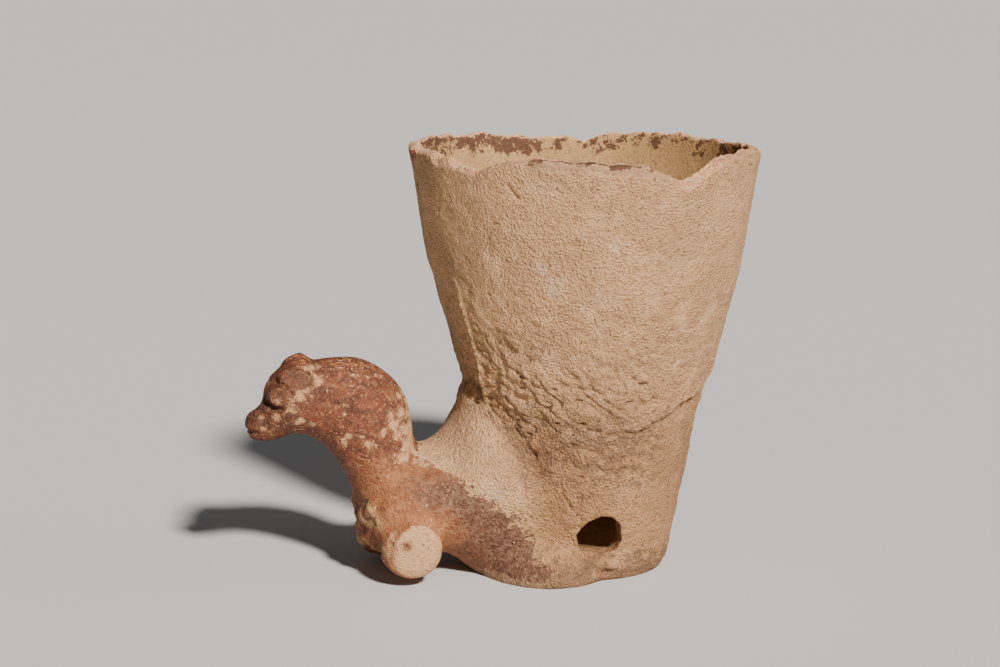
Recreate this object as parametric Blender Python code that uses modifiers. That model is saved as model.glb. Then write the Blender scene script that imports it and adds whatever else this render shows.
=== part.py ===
"""Drinking vessel of fired clay: an open beaker whose foot grows into the forepart of an animal.

Metres, +Z up. The origin is on the beaker's axis, on the flat underside. The animal looks along -X.
Its forelegs and both horns are broken off, the rim is chipped all round, and the foot has a hole.
"""

import math

import bmesh
import bpy
from mathutils import Matrix, Vector

# Beaker: the outside profile is in shares of the two rim sizes, as height and radius
RIM_HEIGHT = 0.1542
RIM_RADIUS = 0.0632
PROFILE = (
    (0.035, 0.494),
    (0.080, 0.515),
    (0.120, 0.533),
    (0.230, 0.584),
    (0.310, 0.621),
    (0.370, 0.649),
    (0.428, 0.687),
    (0.470, 0.722),
    (0.545, 0.776),
    (0.622, 0.828),
    (0.700, 0.876),
    (0.778, 0.911),
    (0.856, 0.942),
    (0.934, 0.970),
    (1.000, 1.000),
)
FOOT_RADIUS = 0.0287
RIM_WALL = 0.0042
FOOT_WALL = 0.0070
FLOOR_THICKNESS = 0.0090
FLOOR_ROUND = 0.0080

# Broken rim: degrees from +X, then how far the clay is gone below the tallest point, in shares of the rim height
RIM_LINE = (
    (-180, 0.008),
    (-166, 0.014),
    (-158, 0.017),
    (-151, 0.030),
    (-145, 0.033),
    (-140, 0.028),
    (-135, 0.019),
    (-128, 0.012),
    (-117, 0.003),
    (-106, 0.008),
    (-98, 0.013),
    (-89, 0.022),
    (-84, 0.030),
    (-80, 0.042),
    (-75, 0.051),
    (-71, 0.048),
    (-68, 0.034),
    (-64, 0.018),
    (-57, 0.013),
    (-45, 0.011),
    (-35, 0.008),
    (-20, 0.014),
    (-8, 0.020),
    (10, 0.025),
    (26, 0.023),
    (35, 0.018),
    (46, 0.018),
    (60, 0.016),
    (66, 0.022),
    (69, 0.034),
    (72, 0.042),
    (75, 0.037),
    (79, 0.032),
    (89, 0.031),
    (99, 0.029),
    (107, 0.020),
    (119, 0.014),
    (126, 0.018),
    (134, 0.009),
    (144, 0.000),
    (155, 0.002),
    (166, 0.009),
)
FRACTURE_SLOPE = 0.22
RIM_JAG = 0.0004
# Where the break's outer edge has flaked further down: degrees, half width in degrees, share of the rim height
RIM_FLAKES = (
    (-68, 12, 0.0292),
    (-145, 11, 0.0130),
    (-108, 16, 0.0065),
    (-20, 14, 0.0091),
    (150, 16, 0.0104),
    (60, 12, 0.0078),
)

# Hole through the foot's wall: its outline is in shares of its width and height
HOLE_ANGLE = math.radians(-97.0)
HOLE_HEIGHT = 0.0178
HOLE_WIDTH = 0.0163
HOLE_RISE = 0.0143
HOLE_OUTLINE = (
    (-0.50, 0.00),
    (-0.38, 0.20),
    (-0.22, 0.38),
    (0.05, 0.50),
    (0.28, 0.45),
    (0.46, 0.24),
    (0.50, -0.08),
    (0.40, -0.44),
    (0.20, -0.50),
    (-0.10, -0.44),
    (-0.38, -0.42),
    (-0.46, -0.18),
)

# Animal: every share below is of its length, from the beaker's axis to the nose
ANIMAL_LENGTH = 0.123
TRUNK_WALL = 0.009
POCKET_REACH = 0.55
POCKET_HEIGHT = 0.22
POCKET_RISE = 0.12
POCKET_WIDTH = 0.9
# Trunk, from the axis to the chest: forward, top, bottom, half width
TRUNK = (
    (0.00, 0.54, -0.03, 0.20),
    (0.20, 0.56, -0.03, 0.235),
    (0.30, 0.58, -0.03, 0.222),
    (0.36, 0.52, 0.01, 0.206),
    (0.41, 0.43, 0.052, 0.193),
    (0.46, 0.39, 0.062, 0.185),
    (0.54, 0.375, 0.060, 0.178),
    (0.61, 0.345, 0.068, 0.160),
    (0.66, 0.300, 0.095, 0.120),
    (0.686, 0.240, 0.150, 0.055),
)
# Neck and head: front of the section forward and up, its back forward and up, half width
NECK_AND_HEAD = (
    (0.690, 0.170, 0.340, 0.230, 0.140),
    (0.693, 0.250, 0.440, 0.350, 0.132),
    (0.722, 0.317, 0.510, 0.390, 0.120),
    (0.762, 0.378, 0.520, 0.460, 0.112),
    (0.800, 0.413, 0.541, 0.540, 0.108),
    (0.828, 0.428, 0.600, 0.608, 0.104),
    (0.852, 0.435, 0.683, 0.650, 0.100),
    (0.876, 0.433, 0.785, 0.648, 0.094),
    (0.900, 0.427, 0.870, 0.630, 0.084),
    (0.925, 0.417, 0.936, 0.597, 0.070),
    (0.945, 0.413, 0.955, 0.545, 0.058),
    (0.958, 0.412, 0.957, 0.518, 0.054),
    (0.979, 0.416, 0.988, 0.505, 0.052),
    (0.996, 0.430, 1.007, 0.470, 0.034),
)
# Round forms: forward, sideways, up, then the half sizes along the same three ways
HAUNCHES = (0.14, 0.0, 0.010, 0.205, 0.292, 0.170)
BACK_WEB = (0.330, 0.0, 0.50, 0.052, 0.100, 0.130)
EYE = (0.919, 0.054, 0.558, 0.031, 0.030, 0.035)
SOCKET = (0.923, 0.064, 0.554, 0.037, 0.027, 0.040)
HORN_ROOT = (0.866, 0.044, 0.607, 0.046, 0.030, 0.027)
ROOT_HOLLOW = (0.864, 0.074, 0.603, 0.036, 0.018, 0.017)
MOUTH = (1.010, 0.0, 0.450, 0.036, 0.060, 0.005)
# Broken stubs: where each starts and ends, as forward, sideways and up, then both radii
FORELEG = (0.553, 0.100, 0.118, 0.556, 0.205, 0.108, 0.092, 0.084)
FAR_HORN = (0.925, 0.022, 0.560, 0.824, 0.047, 0.652, 0.032, 0.027)
FAR_LEG_DROP = 0.028

# How finely the clay is modelled
FUSE_VOXEL = 0.0014
FUSE_PASSES = 7
KEPT_SHARE = 0.052
TURN_STEPS = 60
RIM_STEPS = 120
RING_POINTS = 24
SPARE = 0.004
SLIVER = 0.00004

CLAY = (0.55, 0.38, 0.25, 1.0)


def eased(rows, steps):
    """The rows with smooth ones set between them (Catmull-Rom)."""
    made = []
    for i in range(len(rows) - 1):
        near = [rows[min(max(k, 0), len(rows) - 1)] for k in range(i - 1, i + 3)]
        for step in range(steps):
            t = step / steps
            row = []
            for a, b, c, d in zip(*near):
                row.append(b + 0.5 * t * (c - a + t * (2 * a - 5 * b + 4 * c - d + t * (3 * b - a - 3 * c + d))))
            made.append(row)
    return made + [list(rows[-1])]


def read_line(rows, at):
    """The second column of the rows where the first is at, along straight lines."""
    for (low, first), (high, second) in zip(rows, rows[1:]):
        if at <= high:
            share = max(0.0, (at - low) / (high - low))
            return first + share * (second - first)
    return rows[-1][1]


SMOOTH_PROFILE = eased(PROFILE, 4)


def outer_radius(height):
    return RIM_RADIUS * read_line(SMOOTH_PROFILE, height / RIM_HEIGHT)


def inner_radius(height):
    share = max(0.0, min(1.0, height / RIM_HEIGHT))
    return outer_radius(height) - FOOT_WALL - share * (RIM_WALL - FOOT_WALL)


def rim_height(turn):
    """Height of the broken rim's middle this many radians round from +X."""
    degrees = (math.degrees(turn) + 180) % 360 - 180
    first_again = ((RIM_LINE[0][0] + 360, RIM_LINE[0][1]),)
    return RIM_HEIGHT * (1 - read_line(RIM_LINE + first_again, degrees))


def flake_depth(turn):
    depth = 0.0
    for centre, half_width, deepest in RIM_FLAKES:
        away = abs((math.degrees(turn) - centre + 180) % 360 - 180) / half_width
        depth += deepest * RIM_HEIGHT * max(0.0, 1 - away**2)
    return depth


def clear_scene():
    for obj in list(bpy.data.objects):
        bpy.data.objects.remove(obj)


def make_collection(name):
    made = bpy.data.collections.new(name)
    bpy.context.scene.collection.children.link(made)
    return made


def new_object(name, bm, collection, helper=True):
    mesh = bpy.data.meshes.new(name)
    bm.to_mesh(mesh)
    bm.free()
    made = bpy.data.objects.new(name, mesh)
    collection.objects.link(made)
    if helper:
        made.hide_render = True
        made.display_type = "WIRE"
    return made


def loft(name, rings, collection, ring_closes=False):
    """Skins equal rings of points one to the next, capped at the ends or closed on itself."""
    bm = bmesh.new()
    rows = [[bm.verts.new(point) for point in ring] for ring in rings]
    pairs = list(zip(rows, rows[1:]))
    if ring_closes:
        pairs.append((rows[-1], rows[0]))
    for one, two in pairs:
        for i in range(len(one)):
            k = (i + 1) % len(one)
            bm.faces.new((one[i], one[k], two[k], two[i]))
    if not ring_closes:
        bm.faces.new(rows[0])
        bm.faces.new(rows[-1])
    bmesh.ops.recalc_face_normals(bm, faces=bm.faces)
    return new_object(name, bm, collection)


def turned(name, profile, collection, helper=True):
    """A profile of (radius, height) points turned about the vertical axis."""
    bm = bmesh.new()
    points = [bm.verts.new((radius, 0, height)) for radius, height in profile]
    for one, two in zip(points, points[1:]):
        bm.edges.new((one, two))
    made = new_object(name, bm, collection, helper)
    screw = made.modifiers.new("turn", "SCREW")
    screw.steps = screw.render_steps = TURN_STEPS
    screw.use_merge_vertices = True
    screw.merge_threshold = 0.00001
    return made


def in_animal(forward, sideways, up):
    return Vector((-forward, sideways, up)) * ANIMAL_LENGTH


def rounded(name, form, collection, side=1):
    """A ball stretched to a form's half sizes, set at its place in the animal; side -1 is the near one."""
    forward, sideways, up, *half_sizes = form
    bm = bmesh.new()
    bmesh.ops.create_uvsphere(bm, u_segments=16, v_segments=11, radius=ANIMAL_LENGTH)
    bmesh.ops.rotate(bm, matrix=Matrix.Rotation(math.radians(90), 3, "X"), verts=bm.verts)
    bmesh.ops.scale(bm, vec=half_sizes, verts=bm.verts)
    bmesh.ops.translate(bm, vec=in_animal(forward, side * sideways, up), verts=bm.verts)
    return new_object(name, bm, collection)


def stub(name, form, collection, side=1, drop=0.0):
    """A round stump that tapers from one point to another, its broken end a little rounded."""
    start = in_animal(form[0], side * form[1], form[2])
    end = in_animal(form[3], side * form[4], form[5] - drop)
    run = end - start
    across = run.cross(Vector((0, 0, 1))).normalized()
    rise = run.cross(across).normalized()
    rings = []
    for along, width in ((0, form[6]), (0.55, (form[6] + form[7]) / 2), (0.88, form[7]), (1, 0.84 * form[7])):
        centre = start + run * along
        rings.append(oval(centre, rise * width * ANIMAL_LENGTH, across * width * ANIMAL_LENGTH))
    return loft(name, rings, collection)


def oval(centre, rise, reach):
    """A ring about centre, with rise and reach its two half sizes as vectors."""
    turns = [math.tau * (k + 0.5) / RING_POINTS for k in range(RING_POINTS)]
    return [centre + rise * math.cos(turn) + reach * math.sin(turn) for turn in turns]


def beaker_skin(collection):
    """The beaker as a closed form, taller than the rim and deeper than the underside, where it is cut."""
    heights = [RIM_HEIGHT * share for share, _ in reversed(SMOOTH_PROFILE[::2])]
    profile = [(0, RIM_HEIGHT + 4 * SPARE), (RIM_RADIUS * 1.03, RIM_HEIGHT + 4 * SPARE)]
    profile += [(outer_radius(height), height) for height in heights]
    profile += [(FOOT_RADIUS, 0), (FOOT_RADIUS - SPARE, -SPARE), (0, -SPARE)]
    return turned("vessel", profile, collection, helper=False)


def trunk_rings(inset=0.0):
    """The trunk's upright sections from the axis to the chest, drawn in by inset."""
    for forward, top, bottom, half_width in eased(TRUNK, 3):
        centre = in_animal(forward, 0, (top + bottom) / 2)
        rise = Vector((0, 0, (top - bottom) / 2 * ANIMAL_LENGTH - inset))
        yield centre, rise, Vector((0, half_width * ANIMAL_LENGTH - inset, 0))


def trunk(collection):
    return loft("trunk", [oval(*ring) for ring in trunk_rings()], collection)


def neck_and_head(collection):
    rings = []
    for front_x, front_z, back_x, back_z, half_width in eased(NECK_AND_HEAD, 4):
        front = in_animal(front_x, 0, front_z)
        back = in_animal(back_x, 0, back_z)
        rings.append(oval((front + back) / 2, (back - front) / 2, in_animal(0, half_width, 0)))
    return loft("neck_and_head", rings, collection)


def cavity(collection):
    """The space inside the beaker, open at the mouth."""
    top = RIM_HEIGHT + 5 * SPARE
    low = FLOOR_THICKNESS + FLOOR_ROUND
    profile = [(0, top), (inner_radius(top), top)]
    for share in (1, 0.86, 0.7, 0.55, 0.45, 0.35, 0.2):
        profile.append((inner_radius(RIM_HEIGHT * share), RIM_HEIGHT * share))
    corner = inner_radius(low)
    for k in range(5):
        turn = math.radians(22.5 * k)
        profile.append((corner - FLOOR_ROUND * (1 - math.cos(turn)), low - FLOOR_ROUND * math.sin(turn)))
    profile.append((0, FLOOR_THICKNESS))
    return turned("cavity", profile, collection)


def shoulder_pocket(collection):
    """The cavity's short arm into the animal's shoulders, a full wall inside the trunk."""
    rings = []
    for centre, rise, reach in trunk_rings(TRUNK_WALL):
        share = -centre.x / ANIMAL_LENGTH / POCKET_REACH
        if share > 0.98:
            break
        rounding = math.sqrt(1 - share**4)
        lower = min(rise.z, POCKET_RISE * ANIMAL_LENGTH)
        middle = in_animal(share * POCKET_REACH, 0, POCKET_HEIGHT)
        rings.append(oval(middle, Vector((0, 0, lower * rounding)), reach * rounding * POCKET_WIDTH))
    return loft("shoulder_pocket", rings, collection)


def mouth_cut(collection):
    """A crown over the wall's top, whose lower side is the broken rim's surface."""
    rings = []
    inside = inner_radius(RIM_HEIGHT) - SPARE
    outside = outer_radius(RIM_HEIGHT) + SPARE
    top = RIM_HEIGHT + 6 * SPARE
    for k in range(RIM_STEPS):
        turn = math.tau * k / RIM_STEPS
        out = Vector((math.cos(turn), math.sin(turn), 0))
        middle = rim_height(turn) + RIM_JAG * (math.sin(23 * turn) + math.sin(41 * turn + 1))
        fall = FRACTURE_SLOPE * (outside - inside) / 2
        low = middle - fall - 2 * flake_depth(turn)
        corners = ((inside, middle + fall), (outside, low), (outside, top), (inside, top))
        rings.append([out * radius + Vector((0, 0, height)) for radius, height in corners])
    return loft("mouth_cut", rings, collection, ring_closes=True)


def hole_cut(collection):
    """An uneven hole driven through the foot's wall."""
    out = Vector((math.cos(HOLE_ANGLE), math.sin(HOLE_ANGLE), 0))
    across = Vector((-out.y, out.x, 0))
    inside = inner_radius(HOLE_HEIGHT) - SPARE
    outside = outer_radius(HOLE_HEIGHT) + SPARE
    rings = []
    for reach, spread in ((inside, 0.92), (outside, 1.04)):
        middle = out * reach + Vector((0, 0, HOLE_HEIGHT))
        wide, tall = across * HOLE_WIDTH * spread, Vector((0, 0, HOLE_RISE * spread))
        rings.append([middle + wide * u + tall * v for u, v in HOLE_OUTLINE])
    return loft("hole_cut", rings, collection)


def ground_cut(collection):
    """Everything below the flat underside."""
    reach = 2 * (ANIMAL_LENGTH + RIM_RADIUS)
    depth = 6 * SPARE
    bm = bmesh.new()
    bmesh.ops.create_cube(bm, size=1)
    bmesh.ops.scale(bm, vec=(reach, reach, depth), verts=bm.verts)
    bmesh.ops.translate(bm, vec=(0, 0, -depth / 2), verts=bm.verts)
    return new_object("ground_cut", bm, collection)


def boolean(target, other, operation):
    made = target.modifiers.new(f"{operation.lower()}_{other.name}", "BOOLEAN")
    made.operation = operation
    made.solver = "EXACT"
    made.object = other


def fuse(target):
    """Runs the joined forms together into one skin of clay, with soft hollows where they meet."""
    melt = target.modifiers.new("melt", "REMESH")
    melt.mode = "VOXEL"
    melt.voxel_size = FUSE_VOXEL
    soften = target.modifiers.new("soften", "SMOOTH")
    soften.factor = 0.5
    soften.iterations = FUSE_PASSES
    thin = target.modifiers.new("thin", "DECIMATE")
    thin.ratio = KEPT_SHARE


def close_slivers(target):
    """Joins points that the cuts left closer together than any real feature."""
    weld = target.modifiers.new("weld", "WELD")
    weld.merge_threshold = SLIVER


def clay():
    material = bpy.data.materials.new("clay")
    material.use_nodes = True
    shader = material.node_tree.nodes["Principled BSDF"]
    shader.inputs["Base Color"].default_value = CLAY
    shader.inputs["Roughness"].default_value = 0.9
    shader.inputs["Metallic"].default_value = 0.0
    return material


def main():
    clear_scene()
    piece = make_collection("drinking_vessel")
    forms = make_collection("forms_and_cutters")
    vessel = beaker_skin(piece)
    fused = [trunk(forms), neck_and_head(forms)]
    fused += [rounded("haunches", HAUNCHES, forms), rounded("back_web", BACK_WEB, forms)]
    fused += [stub("far_horn", FAR_HORN, forms), stub("far_foreleg", FORELEG, forms, drop=FAR_LEG_DROP)]
    fused += [stub("near_foreleg", FORELEG, forms, side=-1)]
    for form in fused:
        boolean(vessel, form, "UNION")
    fuse(vessel)
    boolean(vessel, rounded("far_socket", SOCKET, forms), "DIFFERENCE")
    boolean(vessel, rounded("near_socket", SOCKET, forms, side=-1), "DIFFERENCE")
    boolean(vessel, rounded("far_eye", EYE, forms), "UNION")
    boolean(vessel, rounded("near_eye", EYE, forms, side=-1), "UNION")
    boolean(vessel, rounded("near_horn_root", HORN_ROOT, forms, side=-1), "UNION")
    boolean(vessel, rounded("root_hollow", ROOT_HOLLOW, forms, side=-1), "DIFFERENCE")
    boolean(vessel, rounded("mouth", MOUTH, forms), "DIFFERENCE")
    for cutter in (cavity(forms), shoulder_pocket(forms), mouth_cut(forms), hole_cut(forms), ground_cut(forms)):
        boolean(vessel, cutter, "DIFFERENCE")
    close_slivers(vessel)
    vessel.data.materials.append(clay())


main()
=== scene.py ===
"""A worn clay drinking vessel with an animal's forepart: its surface, breaks, slip, light and camera.

Relief is worked out in millimetres. Turns are degrees round the beaker from +X, negative on the near side.
"""
import itertools
import math

import bpy
import numpy as np
from mathutils import Matrix, Vector


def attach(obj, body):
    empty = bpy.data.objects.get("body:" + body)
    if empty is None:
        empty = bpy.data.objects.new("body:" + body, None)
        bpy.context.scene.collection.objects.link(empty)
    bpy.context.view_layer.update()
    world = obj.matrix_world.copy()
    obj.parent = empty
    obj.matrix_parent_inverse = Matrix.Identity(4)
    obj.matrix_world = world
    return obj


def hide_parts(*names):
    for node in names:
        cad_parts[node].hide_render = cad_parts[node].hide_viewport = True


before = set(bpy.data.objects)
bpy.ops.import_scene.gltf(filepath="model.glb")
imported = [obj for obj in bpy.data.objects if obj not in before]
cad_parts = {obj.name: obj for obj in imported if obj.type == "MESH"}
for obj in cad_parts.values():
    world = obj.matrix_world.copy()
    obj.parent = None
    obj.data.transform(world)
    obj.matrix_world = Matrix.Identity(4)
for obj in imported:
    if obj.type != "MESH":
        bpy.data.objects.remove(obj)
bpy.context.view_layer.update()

MM = 0.001
# Even skin: voxel size in metres, rounds of softening, and what is left after thinning
VOXEL = 0.00058
SOFT_PASSES = 70
MOST_TRIANGLES = 192000
# Depth in metres of the finest grain, which only the light shows
GRAIN_DEPTH = 0.0010

# Depths and heights of the marks, in millimetres
WRINKLE_DEPTH = 0.75
TORN_DEPTH = 1.3
LEDGE_OVER = 1.5
LEDGE_UNDER = 1.7
SUNK_DEPTH = 2.1
SUNK_RIDGE = 1.2
EYE_GROOVE = 2.0
EYELID_GROOVE = 0.7
EYE_PIT = 1.1
LIP_SLIT = 1.3
SCAR_PIT_DEPTH = 0.8

# Places on the vessel, in millimetres
HOLE = np.array((-3.9, -32.0, 17.8))
EYE = np.array((-113.0, -6.6, 68.6))
EYE_RADIUS = 4.9
EYELID_RADIUS = 4.1
SCAR = np.array((-105.9, -8.0, 74.5))
SCAR_HALF_SIZES = (5.4, 3.3)
SCAR_LEVEL = -7.3
SCAR_PIT = np.array((-102.9, -8.3, 73.9))
LIPS = ((-124.5, 0, 55.6), (-122.0, 0, 55.2), (-120.4, 0, 55.5))
NEAR_STUMP = np.array((-66.8, -25.2, 13.5))
STUMP_SPOT = np.array((-71.6, -25.4, 16.4))
FAR_STUMP = np.array((-68.4, 25.2, 9.9))
LAYERED_CLAY = (6.0, -31.0, 4.5)
# The rim is looked for above this height and outside this radius
RIM_ABOVE = 140
RIM_OUTSIDE = 52
# Hollow that runs forward from the cup into the shoulders: two opposite corners
ARM_LOW = np.array((-66, -14.2, 11.5))
ARM_HIGH = np.array((-24, 14.2, 42.6))

# Beaker as built: height, outside radius, inside radius
WALL = np.array(
    (
        (0, 28.9, 18.0),
        (6, 31.1, 18.0),
        (12, 32.3, 24.7),
        (20, 33.8, 27.2),
        (30, 35.7, 29.3),
        (45, 38.6, 32.4),
        (60, 41.7, 36.0),
        (75, 46.2, 40.5),
        (90, 50.5, 45.2),
        (105, 54.5, 49.4),
        (120, 57.4, 52.5),
        (135, 59.8, 55.4),
        (145, 61.3, 57.2),
        (160, 63.6, 59.9),
    )
)
FLOOR_TOP = 9.0

# Overlap of the upper clay on the lower: turn, height, how strongly it shows
CREASE = np.array(
    (
        (-180, 60.0, 0.0),
        (-150, 50.0, 0.0),
        (-127, 47.0, 0.25),
        (-112, 52.5, 0.18),
        (-99, 54.7, 0.20),
        (-89, 54.8, 0.25),
        (-78, 56.5, 0.38),
        (-70, 59.2, 0.55),
        (-61, 62.0, 0.75),
        (-51, 64.6, 1.0),
        (-42, 66.2, 1.0),
        (-30, 70.0, 0.6),
        (-5, 73.0, 0.2),
        (20, 70.0, 0.0),
        (60, 62.0, 0.2),
        (100, 58.0, 0.2),
        (150, 62.0, 0.1),
        (180, 60.0, 0.0),
    )
)
# Upright edge of the sunk clay that faces the animal's neck: height, turn
SUNK_EDGE = np.array(
    (
        (66, -160.0),
        (75, -158.5),
        (84, -157.8),
        (92, -158.5),
        (101, -159.5),
        (110, -162.0),
    )
)
# Edge of the red slip, slanting over the flank: height, x
SLIP_EDGE = np.array(
    (
        (2, -21),
        (8, -24),
        (16, -28),
        (24, -32),
        (30, -42),
        (37, -49),
        (40, -55),
        (44, -66),
        (47, -64),
    )
)
RIM_CRACK = ((-40.9, -45.6, 144.0), (-40.3, -46.0, 142.7), (-39.3, -46.5, 141.0), (-37.8, -47.3, 139.5))
FOOT_CRACK = ((-18.2, -32.4, 37.0), (-17.6, -32.4, 34.4), (-16.4, -32.4, 31.2), (-15.0, -32.3, 28.9))
FOOT_CRACK_END = ((-15.0, -32.3, 28.9), (-12.9, -32.7, 26.5), (-10.1, -33.1, 23.5))
# Cracks: points, width, depth
CRACKS = (
    (RIM_CRACK, 0.55, 0.8),
    (FOOT_CRACK, 0.6, 0.9),
    (FOOT_CRACK_END, 0.4, 0.5),
)
# Spur and notch in the rim: place, reach, height
RIM_MARKS = (
    ((-62.6, -3.0, 152.0), 1.7, 2.6),
    ((-35.6, -51.0, 150.6), 1.7, -1.3),
)
# Round pits: place, radius, depth
PITS = (
    ((-63.1, -17.3, 39.3), 1.5, 1.1),
    ((36.6, -44.2, 119.5), 1.1, 0.5),
    ((15.4, -52.5, 105.7), 1.0, 0.5),
    ((-34.1, -24.0, 59.8), 1.5, 0.7),
    ((-28.7, -36.8, 76.2), 1.3, 0.6),
    ((-36.7, -33.2, 85.7), 1.6, 0.8),
    ((-39.4, -36.6, 101.7), 1.0, 0.5),
    ((-19.4, -54.8, 124.1), 1.4, 0.6),
    (STUMP_SPOT, 1.6, 0.35),
)
# Clay added to the solid's forms: place, half sizes, lean in degrees towards the neck
ADDED_CLAY = (
    ((-107.0, 1.2, 71.3), (10.3, 5.6, 6.2), -46),
    ((-105.6, 4.4, 76.9), (5.6, 3.0, 3.7), -44),
    ((-107.6, -3.4, 73.6), (5.4, 4.0, 4.0), -38),
)
# Clay shifted after the melting: place, reach, shift
SHIFTS = (
    ((-115.6, 8.2, 68.6), 4.6, (3.6, -1.8, 0.0)),
    ((-101.4, 5.8, 81.0), 3.0, (0.2, 0.0, 1.1)),
    ((-99.4, 1.5, 79.0), 2.4, (0.0, 0.0, -1.5)),
    ((-113.6, -10.4, 68.4), 3.0, (0.0, 0.9, 0.0)),
)


def eased(value, low, high):
    """0 at low, 1 at high and smooth between them; low may be the greater."""
    share = np.clip((value - low) / (high - low), 0, 1)
    return share * share * (3 - 2 * share)


def spread(points, centre, radius):
    """A soft round spot: 1 at its centre, about a third at its radius."""
    away = np.linalg.norm(points - np.asarray(centre), axis=1)
    return np.exp(-((away / radius) ** 2))


def lattice(cell, seed):
    """A steady random number from 0 to 1 for each whole-numbered cell."""
    mixed = cell[:, 0] * 73856093 ^ cell[:, 1] * 19349663 ^ cell[:, 2] * 83492791 ^ (seed * 40503 + 7)
    for factor in (1274126177, 2246822519):
        mixed = (mixed & 0xFFFFFFFF) * (factor & 0x7FFFFFFF)
        mixed = (mixed >> 15) ^ mixed
    return (mixed & 0xFFFFFF) / 0xFFFFFF


def noise(points, size, seed):
    """Smooth random values from -1 to 1 that change over about this size."""
    scaled = points / size
    cell = np.floor(scaled).astype(np.int64)
    share = scaled - cell
    share = share * share * (3 - 2 * share)
    total = np.zeros(len(points))
    for corner in itertools.product((0, 1), repeat=3):
        weight = np.prod(np.where(corner, share, 1 - share), axis=1)
        total += weight * lattice(cell + np.array(corner), seed)
    return 2 * total - 1


def line_distance(points, line):
    """Distance of each point from a broken line."""
    best = np.full(len(points), 99.0)
    line = np.asarray(line)
    for start, end in zip(line, line[1:]):
        run = end - start
        share = np.clip((points - start) @ run / (run @ run), 0, 1)
        best = np.minimum(best, np.linalg.norm(points - start - share[:, None] * run, axis=1))
    return best


def vertices_mm(mesh):
    """The mesh's vertices in millimetres, a row each."""
    flat = np.empty(len(mesh.vertices) * 3)
    mesh.vertices.foreach_get("co", flat)
    return flat.reshape(-1, 3) / MM


def rim_tops(points):
    """The solid's highest point near each third degree of turn."""
    radius = np.hypot(points[:, 0], points[:, 1])
    high = points[(points[:, 2] > RIM_ABOVE) & (radius > RIM_OUTSIDE)]
    turns = np.degrees(np.arctan2(high[:, 1], high[:, 0]))
    stops = np.arange(-180, 181, 3.0)
    tops = []
    for stop in stops:
        near = np.abs((turns - stop + 180) % 360 - 180) < 2.6
        tops.append(high[near, 2].max() if near.any() else 150.0)
    return stops, np.array(tops)


class Surface:
    """Where each point of the skin lies on the vessel, as soft shares from 0 to 1."""

    def __init__(self, points, rim, facing_up=None):
        self.points = points
        self.x, self.y, self.z = points.T
        self.radius = np.hypot(self.x, self.y)
        self.turn = np.degrees(np.arctan2(self.y, self.x))
        self.outer = np.interp(self.z, WALL[:, 0], WALL[:, 1])
        self.inner = np.interp(self.z, WALL[:, 0], WALL[:, 2])
        self.below_rim = np.interp(self.turn, *rim) - self.z

        # Inside of the cup and of the hollow in the shoulders
        middle = (self.outer + self.inner) / 2
        in_cup = (self.radius < middle) & (self.z > FLOOR_TOP - 2)
        arm = ((points > ARM_LOW) & (points < ARM_HIGH)).all(axis=1)
        self.inside = (in_cup | arm).astype(float)
        self.outside = 1 - self.inside

        # The animal, its neck and its head stand forward of the beaker
        forward = eased(self.radius - self.outer, 1.0, 6.0) * eased(self.x, -18, -34)
        forward *= eased(self.z, 88, 78)
        self.animal = forward * self.outside
        self.beaker = self.outside - self.animal
        self.grounded = eased(self.z, 2.4, 0.25)
        self.neck = self.animal * eased(self.x, -60, -70) * eased(self.z, 40, 48)
        self.head = self.animal * eased(self.x, -92, -100)

        # Broken ends of the forelegs
        stump = np.hypot((self.x - NEAR_STUMP[0]) / 0.94, self.z - NEAR_STUMP[2])
        stump += 0.9 * noise(points, 5, 11)
        self.near_end = eased(stump, 10.4, 9.0) * eased(self.y, -22.0, -24.0)
        stump = np.linalg.norm(points[:, ::2] - FAR_STUMP[::2], axis=1)
        self.far_end = eased(stump, 12.0, 9.0) * eased(self.y, 19, 23)

        # Top of the rim's break, the worn chest and the smooth stretch of the lip
        self.facing_up = np.ones(len(points)) if facing_up is None else facing_up
        self.break_top = eased(self.below_rim, 5.0, 2.5) * eased(self.facing_up, 0.25, 0.6)
        self.chest = self.animal * eased(self.x, -73, -78) * eased(self.z, 32, 25)
        self.chest *= 1 - self.near_end
        self.lip_band = eased(self.turn, -127, -122) * eased(self.turn, -79, -86) * self.outside
        self.lip_band *= eased(self.below_rim - 1.2, 4.0, 2.4)
        self.slip = self.slip_cover()

    def slip_cover(self):
        """How thickly red slip covers the animal."""
        self.in_slip = np.interp(self.z, SLIP_EDGE[:, 0], SLIP_EDGE[:, 1]) - self.x
        cover = eased(self.in_slip, -8.0, 9.0) * eased(self.z, 1.0, 5.0)
        return cover * self.outside * eased(self.radius - self.outer, -1.5, 1.0)


def shoulder_share(on):
    """Where the clay round the beaker's shoulder is roughest, towards the animal above all."""
    return np.exp(-(((on.z - 64) / 28) ** 2)) * on.beaker * (0.45 + 0.55 * eased(on.turn, -55, -100))


def wrinkles(on):
    """Depth of the short wrinkles, falling from left to right, that the fingers left on the shoulder."""
    sideways = 0.97 * on.x - 0.26 * on.y
    along = 0.82 * sideways - 0.57 * on.z
    across = 0.57 * sideways + 0.82 * on.z
    laid = np.stack((0.8 * along, on.y, 1.9 * across), axis=1)
    return WRINKLE_DEPTH * shoulder_share(on) * np.exp(-((noise(laid, 4.4, 6) / 0.17) ** 2))


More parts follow.
